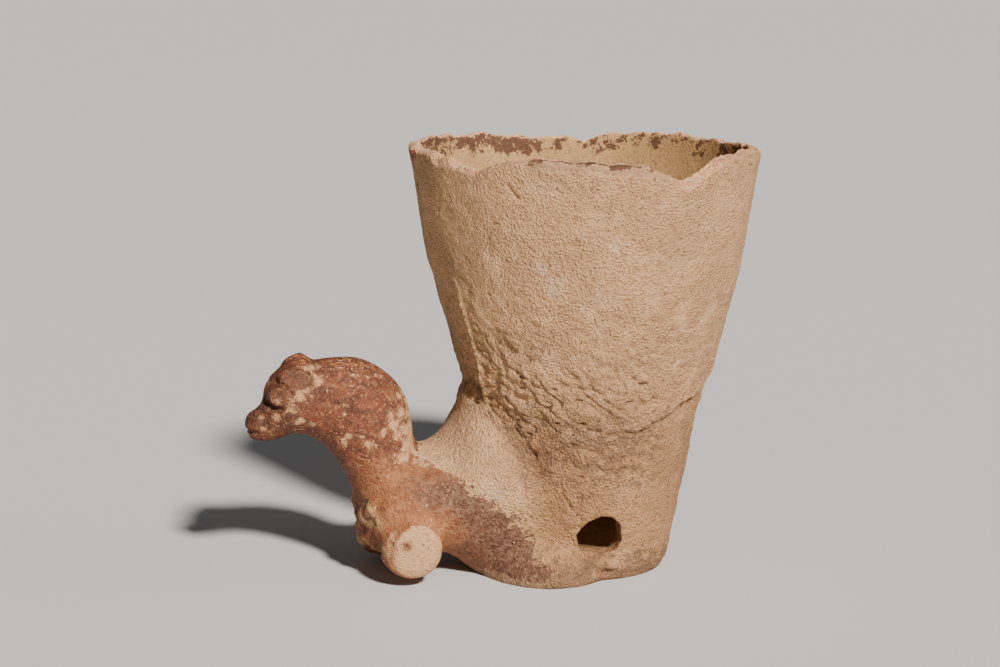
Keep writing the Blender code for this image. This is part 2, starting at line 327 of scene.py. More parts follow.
def hand_built(on):
    """Unevenness of clay shaped by hand, its wrinkles and its coarse grain."""
    rough = on.beaker + 0.35 * on.animal
    smooth = 1 - 0.85 * on.lip_band
    shoulder = shoulder_share(on)
    push = 0.36 * noise(on.points, 27, 1) * on.beaker
    push += 0.26 * noise(on.points, 12, 2) * rough
    push += 0.28 * (0.3 + 2.5 * shoulder) * noise(on.points, 5.2, 3) * rough
    push += 0.30 * (0.35 + 1.4 * shoulder) * noise(on.points, 2.5, 4) * rough * smooth
    push += 0.12 * (1 + shoulder) * noise(on.points, 1.7, 7) * rough * smooth
    push -= wrinkles(on)
    push += 0.12 * noise(on.points, 18, 5) * on.inside
    return push


def crease(on):
    """The upper clay laps over the lower in a wavering ledge."""
    height = np.interp(on.turn, CREASE[:, 0], CREASE[:, 1]) + 1.3 * noise(on.points, 9, 21)
    strength = np.interp(on.turn, CREASE[:, 0], CREASE[:, 2]) * on.beaker
    above = on.z - height
    step = eased(above, -0.9, 0.8)
    over = LEDGE_OVER * np.exp(-np.maximum(above, 0) / 8)
    under = LEDGE_UNDER * np.exp(np.minimum(above, 0) / 2.6)
    return (step * over - (1 - step) * under) * strength


def sunk_face(on):
    """Flat, slightly sunk clay where the beaker faces the animal's neck."""
    edge = np.interp(on.z, SUNK_EDGE[:, 0], SUNK_EDGE[:, 1]) + 1.0 * noise(on.points, 5, 31)
    round_from_back = np.where(on.turn > 0, on.turn - 360, on.turn)
    past = edge - round_from_back
    across = eased(past, -0.8, 1.4) * eased(past, 44, 22)
    upright = eased(on.z, 62, 70) * eased(on.z, 113, 101)
    ridge = SUNK_RIDGE * np.exp(-((past / 1.3) ** 2)) * upright
    return (ridge - SUNK_DEPTH * across * upright) * on.beaker


def scattered_pits(on):
    """Torn hollows between the lumps, thickest round the beaker's shoulder."""
    common = 0.15 + 0.85 * np.exp(-(((on.z - 62) / 26) ** 2)) * eased(on.turn, -50, -100)
    torn = noise(on.points * (1, 1, 1.9), 4.0, 41) + 0.5 * noise(on.points * (1, 1, 1.5), 1.9, 42)
    deep = TORN_DEPTH * (0.2 + 0.8 * common) * eased(torn, -0.6 - 0.3 * (1 - common), -1.1)
    return -deep * on.beaker * (1 - on.lip_band)


def marks(on):
    """Cracks, and pits with a place of their own."""
    push = np.zeros(len(on.z))
    for line, width, depth in CRACKS:
        push -= depth * np.exp(-((line_distance(on.points, line) / width) ** 2))
    for centre, radius, depth in PITS:
        push -= depth * spread(on.points, centre, radius)
    return push * on.outside


def broken_rim(on):
    """Jagged break round the mouth, with flakes gone from its outer edge."""
    close = eased(on.below_rim, 2.2, 0.3)
    push = close * (0.20 * noise(on.points, 1.7, 51) + 0.16 * noise(on.points, 3.4, 52) - 0.25)
    reach = 1.0 + 1.5 * noise(on.points, 8, 53) + 1.6 * eased(on.turn, -138, -155)
    gone = eased(noise(on.points * (1, 1, 0.4), 5.5, 54), 0.02, 0.12)
    flake = gone * eased(on.below_rim - reach, 0.4, -0.3) * eased(on.radius - on.outer, -2.2, -0.6)
    push -= 0.8 * flake * (1 - on.lip_band)
    for place, reach, height in RIM_MARKS:
        push += height * spread(on.points, place, reach)
    return push


def crumbled(on):
    """Rough, crumbly clay at the chest's edge, the far stump, the hole and the foot."""
    chest = eased(on.x, -74, -80) * eased(on.z, 34, 26) * on.animal * eased(on.y, -24, -16)
    far_leg = np.maximum(on.far_end, eased(on.y, 14, 20) * eased(on.x, -56, -60) * eased(on.z, 26, 20))
    hole = spread(on.points, HOLE, 11.5) * 0.5
    foot = eased(on.z, 11, 5) * on.beaker
    belly = eased(on.z, 16, 10) * eased(on.x, -34, -40) * eased(on.x, -60, -54) * 0.7
    layered = spread(on.points, LAYERED_CLAY, 15)
    push = (chest + far_leg) * (1.5 * noise(on.points, 4.0, 61) + 0.9 * noise(on.points, 2.0, 62))
    push += (hole + foot + belly) * (0.40 * noise(on.points, 2.8, 63) + 0.26 * noise(on.points, 1.6, 64))
    push += layered * 0.95 * noise(on.points * (1, 1, 3.4), 6.0, 65)
    push -= 1.5 * eased(on.x, -73.0, -78.0) * eased(on.y, -22.0, -24.5) * eased(on.z, 0, 4)
    push += on.near_end * 0.35 * noise(on.points, 6.0, 66)
    return push * on.outside * (1 - 0.7 * on.near_end)


def scar_ring(on):
    """Distance from the middle of the broken horn's oval scar, 1 at its edge, and where it counts."""
    past, up = on.x - SCAR[0], on.z - SCAR[2]
    half_length, half_width = SCAR_HALF_SIZES
    ring = np.hypot((0.98 * past - 0.2 * up) / half_length, (0.2 * past + 0.98 * up) / half_width)
    return ring, on.head * eased(on.y, -2.5, -4.5)


def flatten_scar(obj, rim):
    """Levels the scar to a leaning oval face, a little below the skin round it."""
    points = vertices_mm(obj.data)
    on = Surface(points, rim)
    ring, near = scar_ring(on)
    level = SCAR_LEVEL + 0.60 * (on.z - SCAR[2]) - 0.08 * (on.x - SCAR[0])
    points[:, 1] += near * eased(ring, 1.0, 0.84) * (level - on.y)
    obj.data.vertices.foreach_set("co", (points * MM).ravel())
    obj.data.update()


def face(on):
    """Grooves and pits of the eyes, the lips' slit, and the ridge round the horn's scar."""
    push = np.zeros(len(on.z))
    for side in (-1, 1):
        centre = EYE * (1, -side, 1)
        beside = eased(on.y * side, 0.8, 2.6) * on.head
        away = np.hypot(on.x - centre[0], on.z - centre[2])
        round_eye = np.degrees(np.arctan2(on.z - centre[2], -(on.x - centre[0])))
        shade = eased(round_eye, -128, -100) * eased(round_eye, 75, 35)
        push -= EYE_GROOVE * shade * beside * np.exp(-(((away - EYE_RADIUS) / 0.85) ** 2))
        upper = np.exp(-(((away - EYELID_RADIUS) / 0.5) ** 2))
        push -= EYELID_GROOVE * (1 - shade) * beside * upper
        pit = (centre + (0.3, 0, 0.6)) * (1, 0, 1)
        push -= EYE_PIT * beside * spread(on.points * (1, 0, 1), pit, 1.1)
    ring, near = scar_ring(on)
    push += near * (0.6 + 0.5 * eased(on.x, -107, -102)) * np.exp(-(((ring - 1.14) / 0.15) ** 2))
    push += near * eased(ring, 1, 0.6) * 0.35 * noise(on.points, 2.2, 72)
    push -= near * SCAR_PIT_DEPTH * spread(on.points, SCAR_PIT, 1.7)
    lip = line_distance(on.points * (1, 0, 1), LIPS)
    push -= LIP_SLIT * np.exp(-((lip / 0.55) ** 2)) * on.head
    push += on.head * (0.22 * noise(on.points, 2.4, 71) + 0.2 * noise(on.points, 5.0, 73))
    return push


def relief(on):
    """How far each point of the skin moves outwards; the underside stays flat."""
    free = 1 - on.grounded
    push = hand_built(on) + crease(on) + sunk_face(on) + scattered_pits(on)
    push = push * (1 - 0.85 * on.near_end) + marks(on) + crumbled(on) + face(on)
    return (push * eased(on.below_rim, 0.3, 3.0) + broken_rim(on)) * free


def pick_only(obj):
    """Selects this object alone and makes it the active one."""
    bpy.ops.object.select_all(action="DESELECT")
    obj.select_set(True)
    bpy.context.view_layer.objects.active = obj


def bake_modifier(obj, kind, **settings):
    """Adds a modifier and applies it straight away."""
    pick_only(obj)
    made = obj.modifiers.new(kind.lower(), kind)
    for name, value in settings.items():
        setattr(made, name, value)
    bpy.ops.object.modifier_apply(modifier=made.name)


def set_group(obj, name, weights):
    """A vertex group, in twenty steps of weight."""
    group = obj.vertex_groups.new(name=name)
    steps = np.round(np.clip(weights, 0, 1) * 20).astype(int)
    for step in range(1, 21):
        chosen = np.flatnonzero(steps == step)
        if len(chosen):
            group.add(chosen.tolist(), step / 20, "REPLACE")


def add_clay(obj):
    """Small overlapping forms, which the melting then joins to the rest."""
    lumps = []
    for place, half_sizes, lean in ADDED_CLAY:
        turned = (0, math.radians(lean), 0)
        place = Vector(place) * MM
        bpy.ops.mesh.primitive_ico_sphere_add(
            subdivisions=4, radius=MM, location=place, rotation=turned, scale=half_sizes
        )
        lumps.append(bpy.context.object)
    pick_only(obj)
    for lump in lumps:
        lump.select_set(True)
    bpy.ops.object.join()


def shift_clay(obj):
    """Nudges the horns' stub, the eye and the brow to where they belong."""
    points = vertices_mm(obj.data)
    moved = points.copy()
    for place, reach, shift in SHIFTS:
        moved += spread(points, place, reach)[:, None] * np.array(shift)
    obj.data.vertices.foreach_set("co", (moved * MM).ravel())
    obj.data.update()


def skin_of(node):
    """A copy of the solid, melted into one fine even skin without its flat facets."""
    mesh = node.data.copy()
    mesh.transform(node.matrix_world)
    mesh.materials.clear()
    made = bpy.data.objects.new("clay_vessel", mesh)
    bpy.context.scene.collection.objects.link(made)
    bake_modifier(made, "WELD", merge_threshold=0.00001)
    rim = rim_tops(vertices_mm(made.data))
    add_clay(made)
    bake_modifier(made, "REMESH", mode="VOXEL", voxel_size=VOXEL)

    # The rim's break, the underside, the face and the foot's hole keep their edges
    on = Surface(vertices_mm(made.data), rim)
    soft = eased(on.below_rim, 1.5, 6.0) * (1 - eased(on.z, 2.5, 0.8))
    soft *= 1 - 0.9 * eased(np.linalg.norm(on.points - EYE * (1, 0, 1), axis=1), 20, 15)
    soft *= 1 - eased(np.linalg.norm(on.points - HOLE, axis=1), 13, 10)
    set_group(made, "soft", soft)
    bake_modifier(made, "SMOOTH", factor=0.5, iterations=SOFT_PASSES, vertex_group="soft")
    bake_modifier(made, "SMOOTH", factor=0.5, iterations=1)
    shift_clay(made)
    flatten_scar(made, rim)
    return made, rim


def normals_of(mesh):
    """The direction that each vertex faces."""
    flat = np.empty(len(mesh.vertices) * 3)
    mesh.vertex_normals.foreach_get("vector", flat)
    return flat.reshape(-1, 3)


def push_out(obj, distance_mm):
    """Moves each vertex along its normal, and none below the floor."""
    mesh = obj.data
    moved = vertices_mm(mesh) + normals_of(mesh) * distance_mm[:, None]
    moved[:, 2] = np.maximum(moved[:, 2], 0)
    mesh.vertices.foreach_set("co", (moved * MM).ravel())
    mesh.update()


def thin_out(obj, rim):
    """Fewer triangles, above all where nobody looks."""
    on = Surface(vertices_mm(obj.data), rim)
    deep = on.inside * eased(on.below_rim, 14, 30)
    far = 0.35 * eased(on.y, 5, 25)
    set_group(obj, "thin", np.maximum(0.1 + far, np.maximum(deep, on.grounded)))
    bake_modifier(obj, "TRIANGULATE")
    share = MOST_TRIANGLES / len(obj.data.polygons)
    bake_modifier(obj, "DECIMATE", ratio=share, vertex_group="thin", vertex_group_factor=1.0)


def store(obj, name, values):
    """Keeps a share for each vertex, where the material reads it."""
    attribute = obj.data.attributes.new(name, "FLOAT", "POINT")
    attribute.data.foreach_set("value", np.clip(values, 0, 1).astype(np.float32))


# Worn spots on the animal where pale clay shows: place, radius
CREAM_SPOTS = (
    ((-101.4, -9.4, 58.4), 1.4),
    ((-90.4, -10.3, 51.2), 1.5),
    ((-89.0, -11.5, 53.5), 1.0),
    ((-81.8, -13.3, 50.6), 1.7),
    ((-84.0, -12.5, 53.5), 0.9),
    ((-90.5, -12.0, 62.0), 1.0),
    ((-118.3, -5.5, 61.0), 1.2),
    ((-118.0, -6.4, 57.0), 1.0),
    ((-113.5, -8.6, 61.4), 1.4),
    ((-105.7, -10.4, 68.6), 2.2),
    ((-109.4, -10.1, 65.0), 1.9),
    ((-103.0, -9.6, 70.6), 1.8),
    ((-99.5, -9.2, 73.8), 2.4),
    ((-100.4, -5.0, 77.2), 1.8),
    ((-113.6, -10.8, 66.4), 2.5),
    ((-105.4, -9.6, 60.0), 1.4),
    ((-73.8, -11.6, 60.5), 1.8),
    ((-72.8, -11.8, 57.0), 2.2),
    ((-71.6, -12.0, 53.4), 2.2),
    ((-76.6, -12.6, 55.0), 1.3),
    ((-69.2, -9.2, 60.5), 2.8),
    ((-68.4, -9.4, 54.5), 2.8),
    ((-70.4, -6.6, 66.0), 1.8),
    ((-68.1, -4.2, 66.9), 2.0),
    ((-66.5, -4.4, 63.2), 2.4),
    ((-66.1, -5.4, 59.8), 2.6),
    ((-65.5, -6.0, 55.5), 2.8),
    ((-65.9, -7.6, 51.6), 3.2),
    ((-67.5, -10.2, 48.4), 3.2),
    ((-70.0, -13.2, 45.4), 2.6),
    ((-70.5, 11.0, 55.0), 4.0),
    ((-86.0, 12.0, 50.0), 2.2),
    ((-97.0, 10.5, 66.0), 2.0),
    ((-113.0, 8.0, 61.5), 1.6),
    ((-104.0, 9.0, 58.0), 2.0),
)
# Faint pale bloom on the bare clay: place, radius
WHITE_SPOTS = (
    ((-25.0, -49.0, 109.0), 3.4),
    ((-27.0, -47.0, 117.0), 3.0),
    ((-6.1, -57.8, 123.6), 2.6),
    ((-40.0, -27.0, 33.0), 4.5),
    ((20.0, 53.0, 98.0), 5.0),
)
# Clay smoothed with wet fingers where the neck meets the beaker: place, radius
BRUSHED_SPOTS = (
    ((-52, -12, 54), 11),
    ((-58, 0, 50), 8),
    ((-52, 12, 54), 11),
    ((-60, -14, 46), 6),
)


def spots(points, places):
    """The strongest of these soft round spots at each point."""
    total = np.zeros(len(points))
    for centre, radius in places:
        total = np.maximum(total, spread(points, centre, radius))
    return total


def worn_share(on):
    """Where slip is rubbed through to pale clay: spots, nape, chest, the scar's rim and the legs' ends."""
    ring, near = scar_ring(on)
    scar_rim = np.exp(-(((ring - 1.2) / 0.16) ** 2)) * eased(on.x - 0.6 * (on.z - SCAR[2]), -109, -105)
    worn = np.maximum(on.near_end, on.far_end)
    for share in (
        spots(on.points, CREAM_SPOTS),
        0.18 * on.neck * eased(on.facing_up, 0.2, 0.7) * eased(on.x, -96, -90),
        0.8 * on.chest * eased(noise(on.points, 4.5, 82), 0.0, 0.5),
        0.9 * near * scar_rim,
    ):
        worn = np.maximum(worn, share)
    return worn


def dirt_and_shade_share(on):
    """Where dirt and painted shade gather: wrinkles, pits, cracks, the foot's hole, the chest, the scar
    and the eyes; painted shade lies under the crease's ledge, deep in the hole and in the eyes' grooves.
    """
    dirt_and_shade = 0.45 * wrinkles(on) - 0.6 * scattered_pits(on) - 0.9 * marks(on)
    # Painted shade under the crease's ledge and in the dips of the crumbled clay
    dirt_and_shade = np.clip(dirt_and_shade - 0.6 * crease(on) - 0.7 * crumbled(on), 0, 1)
    # Painted shade deep inside the hole's wall
    in_hole = eased(on.radius - on.outer, -0.9, -2.4) * spread(on.points, HOLE, 10)
    ring, near = scar_ring(on)
    for share in (
        in_hole * eased(on.z, 11.5, 14) * on.outside,
        0.7 * on.chest * eased(noise(on.points, 3.4, 81), 0.05, 0.5),
        near * eased(ring, 1.05, 0.85) * (0.45 + 0.5 * spread(on.points, SCAR_PIT, 2.4)),
        # Painted shade in the grooves and pits of the face
        np.clip(-0.5 * face(on), 0, 0.8),
    ):
        dirt_and_shade = np.maximum(dirt_and_shade, share)
    return dirt_and_shade


def lip_share(on):
    """Slip left inside the mouth, most of it at the back, and along the lip's smooth stretch."""
    inner = on.inside * eased(on.below_rim, 10, 1)
    inner *= 0.5 + 0.5 * eased(on.turn, 84, 100) * eased(on.turn, 168, 150)
    return np.maximum(inner, 0.75 * on.lip_band * eased(on.below_rim, 2.6, 1.2))


def margin_share(on):
    """Purple-brown slip, where it ends on the flank and faintly on the muzzle."""
    flank = eased(on.in_slip, 36, 8) * eased(on.z, 44, 33) * eased(on.in_slip, -6, 0)
    muzzle = 0.4 * on.head * eased(on.x, -101, -108) * eased(on.z, 75, 71)
    return np.maximum(flank, muzzle) * on.outside


def broken_share(on):
    """Fresh-looking fracture on top of the rim, and in the chip below it."""
    chip = eased(on.turn, -80, -76) * eased(on.turn, -50, -54)
    chip *= eased(on.below_rim, 6.5, 3.5) * on.outside
    return np.maximum(on.break_top * (1 - 0.8 * on.lip_band), 0.8 * chip)


def paint_masks(obj, rim):
    """Soft shares that the material breaks up with its own fine noise."""
    on = Surface(vertices_mm(obj.data), rim, normals_of(obj.data)[:, 2])
    ends = np.maximum(on.near_end, on.far_end)
    stain = spread(on.points, STUMP_SPOT, 2.2)
    # Painted shade in a band below the shoulder's ledge, on the near side
    shade_below_shoulder = 0.75 * np.exp(-(((on.z - 50) / 15) ** 2)) * eased(on.turn, -50, -85) * on.beaker
    # Painted shade that grows down the beaker as the light falls off, with duller clay there too
    lower_clay = eased(on.z, 82, 45) * on.beaker
    # Painted shade on the muzzle, which turns away from the light
    muzzle = on.head * eased(on.x, -104, -112)
    shares = {
        "slip": np.maximum(on.slip * (1 - ends), stain),
        "thin_slip": eased(on.x, -92, -76) * eased(on.z, 50, 38) * (1 - stain),
        "worn": worn_share(on) * (1 - stain),
        "purple": margin_share(on),
        "broken": broken_share(on),
        "inside": on.inside,
        "lip": lip_share(on),
        "lip_band": on.lip_band,
        # Dirt and painted shade in the hollows
        "dirt_and_shade": dirt_and_shade_share(on),
        "brushed": spots(on.points, BRUSHED_SPOTS) * on.outside,
        "white": spots(on.points, WHITE_SPOTS),
        # Painted shade, with duller clay, on the lower beaker and the muzzle
        "dull_and_shade": np.maximum(lower_clay, muzzle),
        # Soil and painted shade towards the foot, and painted shade below the shoulder
        "soil_and_shade": np.maximum(0.9 * eased(on.z, 17, 1), shade_below_shoulder) * on.outside,
    }
    for name, values in shares.items():
        store(obj, name, values)


def node(tree, kind, inputs=None, **settings):
    """A new node whose inputs are values or other nodes' outputs."""
    made = tree.nodes.new(kind)
    for name, value in settings.items():
        setattr(made, name, value)
    for key, value in (inputs or {}).items():
        if isinstance(value, bpy.types.NodeSocket):
            tree.links.new(value, made.inputs[key])
        else:
            made.inputs[key].default_value = value
    return made


def mixed(tree, share, first, second, blend="MIX"):
    """The first colour, taken this share of the way to the second."""
    inputs = {0: share, 6: first, 7: second}
    return node(tree, "ShaderNodeMix", inputs, data_type="RGBA", blend_type=blend).outputs[2]


def worked_out(tree, operation, first, second):
    return node(tree, "ShaderNodeMath", {0: first, 1: second}, operation=operation).outputs[0]


def times(tree, first, second):
    return worked_out(tree, "MULTIPLY", first, second)


def plus(tree, first, second):
    return worked_out(tree, "ADD", first, second)


def minus(tree, first, second):
    return worked_out(tree, "SUBTRACT", first, second)


def larger(tree, first, second):
    return worked_out(tree, "MAXIMUM", first, second)


def between(tree, value, low, high, bottom=0.0, top=1.0):
    """Bottom at low, top at high and smooth between them."""
    inputs = {"Value": value, "From Min": low, "From Max": high, "To Min": bottom, "To Max": top}
    return node(tree, "ShaderNodeMapRange", inputs, interpolation_type="SMOOTHSTEP").outputs[0]


def grain(tree, place, per_metre, detail=2.0, rough=0.5, twist=0.0):
    """Cloudy noise round a half, so many waves to a metre."""
    inputs = {
        "Vector": place,
        "Scale": per_metre,
        "Detail": detail,
        "Roughness": rough,
        "Distortion": twist,
    }
    return node(tree, "ShaderNodeTexNoise", inputs).outputs[0]


def cells(tree, place, per_metre):
    """Distance to the middle of the nearest of many scattered cells."""
    inputs = {"Vector": place, "Scale": per_metre, "Randomness": 1.0}
    return node(tree, "ShaderNodeTexVoronoi", inputs).outputs["Distance"]


def share_of(tree, name):
    """One of the shares kept on the skin."""
    return node(tree, "ShaderNodeAttribute", attribute_name=name).outputs["Fac"]


def new_group(name, inputs, outputs):
    tree = bpy.data.node_groups.new(name, "ShaderNodeTree")
    for label, kind in inputs:
        tree.interface.new_socket(label, in_out="INPUT", socket_type=kind)
    for label, kind in outputs:
        tree.interface.new_socket(label, in_out="OUTPUT", socket_type=kind)
    return tree, tree.nodes.new("NodeGroupInput"), tree.nodes.new("NodeGroupOutput")


FLOAT = "NodeSocketFloat"
PLACE = "NodeSocketVector"


def breakup_group():
    """Turns a soft share into a patch with a ragged, flaking edge."""
    inputs = (("Share", FLOAT), ("Place", PLACE), ("Size", FLOAT), ("Ragged", FLOAT))
    tree, given, result = new_group("ragged_edge", inputs, (("Patch", FLOAT),))
    share, place, size, ragged = (given.outputs[label] for label, _ in inputs)
    coarse = between(tree, grain(tree, place, size, 5.0, 0.72, 0.3), 0.3, 0.7)
    pushed = times(tree, minus(tree, coarse, 0.5), ragged)
    torn = between(tree, plus(tree, share, pushed), 0.38, 0.62)
    kept = between(tree, share, 0.0, 0.15)
    tree.links.new(times(tree, torn, kept), result.inputs["Patch"])
    return tree


def clay_group():
    """Granular fired clay: a height from 0 to 1, dark grit with painted shade in its rare pits, and a slow
    change of tone.
    """
    outputs = (("Height", FLOAT), ("Grit and pit shade", FLOAT), ("Tone", FLOAT))
    tree, given, result = new_group("granular_clay", (("Place", PLACE),), outputs)
    place = given.outputs["Place"]
    dome = between(tree, cells(tree, place, 1050.0), 0.8, 0.1)
    leather = between(tree, grain(tree, place, 950, 2.0, 0.55), 0.3, 0.7)
    fine = between(tree, grain(tree, place, 1900, 2.0, 0.6), 0.3, 0.7)
    lumps = between(tree, grain(tree, place, 300, 2.0, 0.5), 0.3, 0.7)
    height = times(tree, dome, 0.34)
    for wave, weight in ((leather, 0.28), (fine, 0.16), (lumps, 0.20)):
        height = plus(tree, height, times(tree, wave, weight))
    rare = between(tree, grain(tree, place, 160, 1.0), 0.52, 0.6)
    pit = times(tree, between(tree, cells(tree, place, 330.0), 0.22, 0.05), rare)
    height = minus(tree, height, times(tree, pit, 0.35))
    tree.links.new(height, result.inputs["Height"])
    grit_and_pit_shade = between(tree, cells(tree, place, 520.0), 0.2, 0.08)
    few = between(tree, grain(tree, place, 310, 0.0), 0.54, 0.62)
    # The rare pits get painted shade along with the grit
    grit_and_pit_shade = larger(tree, times(tree, grit_and_pit_shade, few), times(tree, pit, 0.7))
    tree.links.new(grit_and_pit_shade, result.inputs["Grit and pit shade"])
    tree.links.new(grain(tree, place, 38, 4.0, 0.6, 0.6), result.inputs["Tone"])
    return tree


# Colours of bare clay, grit, slip, dirt and painted shade, in linear light
BUFF = (0.600, 0.342, 0.168, 1)
BUFF_DARK = (0.490, 0.280, 0.140, 1)
BUFF_PALE = (0.670, 0.405, 0.220, 1)
# Dark grit, and also the painted shade laid into the hollows and the pits
GRIT_AND_SHADE = (0.120, 0.066, 0.036, 1)
# Painted shade for the grain's low points
CREVICE_SHADE = (0.440, 0.360, 0.310, 1)
SLIP_RED = (0.180, 0.056, 0.026, 1)
SLIP_DARK = (0.096, 0.036, 0.020, 1)
SLIP_ORANGE = (0.275, 0.102, 0.044, 1)
SLIP_WARM = (0.270, 0.092, 0.036, 1)
SLIP_THIN = (0.370, 0.150, 0.062, 1)
PURPLE = (0.072, 0.035, 0.025, 1)
DUSTY = (0.185, 0.108, 0.070, 1)
# Painted shade, with duller clay, multiplied over the lower beaker and the muzzle
DULL_AND_SHADE = (0.740, 0.680, 0.640, 1)
BRUSHED = (0.580, 0.365, 0.220, 1)
# Soil and painted shade at the foot, painted shade below the shoulder
SOIL_AND_SHADE = (0.270, 0.160, 0.095, 1)
CREAM = (0.580, 0.325, 0.162, 1)
FRACTURE = (0.590, 0.285, 0.150, 1)
TAN = (0.465, 0.280, 0.122, 1)
TAN_DARK = (0.380, 0.222, 0.094, 1)
LIP_RED = (0.085, 0.034, 0.023, 1)
LIP_GREY = (0.400, 0.240, 0.130, 1)
WHITE = (0.660, 0.475, 0.350, 1)


def patch(tree, group, share, place, size, ragged):
    """A share broken up by the ragged_edge group, with flakes so many to a metre."""
    made = node(tree, "ShaderNodeGroup", node_tree=group)
    for key, value in (("Share", share), ("Place", place)):
        tree.links.new(value, made.inputs[key])
    made.inputs["Size"].default_value = size
    made.inputs["Ragged"].default_value = ragged
    return made.outputs["Patch"]


def clay_material():
    """Fired clay in all its states, told apart by the shares kept on the skin."""
    material = bpy.data.materials.new("fired_clay")
    material.use_nodes = True
    tree = material.node_tree
    shader = tree.nodes["Principled BSDF"]
    place = node(tree, "ShaderNodeTexCoord").outputs["Object"]
    ragged = breakup_group()
    clay = node(tree, "ShaderNodeGroup", node_tree=clay_group())
    tree.links.new(place, clay.inputs["Place"])
    height, grit_and_pit_shade, tone = clay.outputs["Height"], clay.outputs["Grit and pit shade"], clay.outputs["Tone"]

    # Bare clay outside, with pale and brown clouds; soil and painted shade darken the foot and the clay
    # below the shoulder
    colour = mixed(tree, between(tree, tone, 0.38, 0.62), BUFF_DARK, BUFF)
    colour = mixed(tree, between(tree, grain(tree, place, 90, 3.0, 0.6), 0.5, 0.75), colour, BUFF_PALE)
    # Soil and painted shade darken the foot and the clay below the shoulder
    soiled_and_shaded = patch(tree, ragged, share_of(tree, "soil_and_shade"), place, 330.0, 1.3)
    colour = mixed(tree, times(tree, soiled_and_shaded, 0.7), colour, SOIL_AND_SHADE)
    pale = patch(tree, ragged, share_of(tree, "white"), place, 300.0, 1.5)
    colour = mixed(tree, times(tree, pale, 0.33), colour, WHITE)
    brushed = share_of(tree, "brushed")
    drawn_out = {"Vector": place, "Rotation": (0.0, 0.87, 0.0), "Scale": (0.14, 1.0, 1.6)}
    strokes = node(tree, "ShaderNodeMapping", drawn_out).outputs[0]
    strokes = between(tree, grain(tree, strokes, 760, 3.0, 0.6), 0.32, 0.68)
    colour = mixed(tree, times(tree, brushed, strokes), colour, BRUSHED)

    # Inside of the cup, with the rim's last slip
    streaks = node(tree, "ShaderNodeMapping", {"Vector": place, "Scale": (1.0, 1.0, 0.25)}).outputs[0]
    cup = mixed(tree, between(tree, grain(tree, streaks, 120, 3.0), 0.3, 0.7), TAN_DARK, TAN)
    lip_slip = patch(tree, ragged, share_of(tree, "lip"), place, 210.0, 1.7)
    inside = share_of(tree, "inside")
    colour = mixed(tree, inside, colour, cup)
    colour = mixed(tree, share_of(tree, "lip_band"), colour, LIP_GREY)
    colour = mixed(tree, times(tree, lip_slip, 0.9), colour, LIP_RED)

    # Red slip on the animal, thinner on the trunk, dark and dusty at its margin, worn through in places
    clouds = between(tree, grain(tree, place, 210, 4.0, 0.65, 0.8), 0.36, 0.6)
    red = mixed(tree, clouds, SLIP_DARK, SLIP_RED)
    red = mixed(tree, between(tree, grain(tree, place, 430, 3.0, 0.6), 0.5, 0.68), red, SLIP_ORANGE)
    clouds = between(tree, grain(tree, place, 150, 4.0, 0.6), 0.35, 0.65)
    thin = mixed(tree, clouds, SLIP_WARM, SLIP_THIN)
    slip_colour = mixed(tree, share_of(tree, "thin_slip"), red, thin)
    clouds = between(tree, grain(tree, place, 520, 4.0, 0.7), 0.42, 0.6)
    dusky = mixed(tree, clouds, PURPLE, DUSTY)
    purple = share_of(tree, "purple")
    dabs = patch(tree, ragged, purple, place, 130.0, 0.9)
    margin = plus(tree, times(tree, dabs, 0.35), times(tree, purple, 0.45))
    slip_colour = mixed(tree, margin, slip_colour, dusky)
    often = between(tree, grain(tree, place, 160, 2.0), 0.42, 0.62, 0.1, 0.6)
    flecks = between(tree, grain(tree, place, 950, 2.0, 0.6), 0.59, 0.68)
    slip_colour = mixed(tree, times(tree, flecks, often), slip_colour, CREAM)
    slip = patch(tree, ragged, share_of(tree, "slip"), place, 260.0, 1.0)
    colour = mixed(tree, slip, colour, slip_colour)
    rubbed = times(tree, between(tree, share_of(tree, "worn"), 0.1, 1.0), 0.45)
    flaked = patch(tree, ragged, share_of(tree, "worn"), place, 480.0, 1.3)
    worn = larger(tree, times(tree, flaked, 0.85), rubbed)
    colour = mixed(tree, worn, colour, CREAM)

    # Fresh breaks, painted shade with duller clay low on the beaker and on the muzzle, dirt and painted
    # shade in the hollows, grit with painted shade in its pits, and painted shade in the grain's low
    # points
    broken = patch(tree, ragged, share_of(tree, "broken"), place, 380.0, 0.7)
    fracture = mixed(tree, between(tree, grain(tree, place, 500, 2.0), 0.4, 0.6), FRACTURE, BUFF_PALE)
    colour = mixed(tree, broken, colour, fracture)
    # Painted shade, with duller clay, on the lower beaker and the muzzle
    colour = mixed(tree, share_of(tree, "dull_and_shade"), colour, DULL_AND_SHADE, "MULTIPLY")
    # Dirt and painted shade in the hollows, under the crease's ledge, in the hole and in the eyes' grooves
    colour = mixed(tree, times(tree, share_of(tree, "dirt_and_shade"), 0.7), colour, GRIT_AND_SHADE)
    # Grit, and painted shade in the rare pits
    colour = mixed(tree, times(tree, grit_and_pit_shade, 0.65), colour, GRIT_AND_SHADE)
    # Painted shade darkens the grain's low points
    crevice_shade = between(tree, height, 0.47, 0.2)
    colour = mixed(tree, times(tree, crevice_shade, 0.45), colour, CREVICE_SHADE, "MULTIPLY")
    tree.links.new(colour, shader.inputs["Base Color"])

    shine = mixed(tree, slip, (0.92, 0.92, 0.92, 1), (0.68, 0.68, 0.68, 1))
    tree.links.new(shine, shader.inputs["Roughness"])
    shader.inputs["Specular IOR Level"].default_value = 0.25

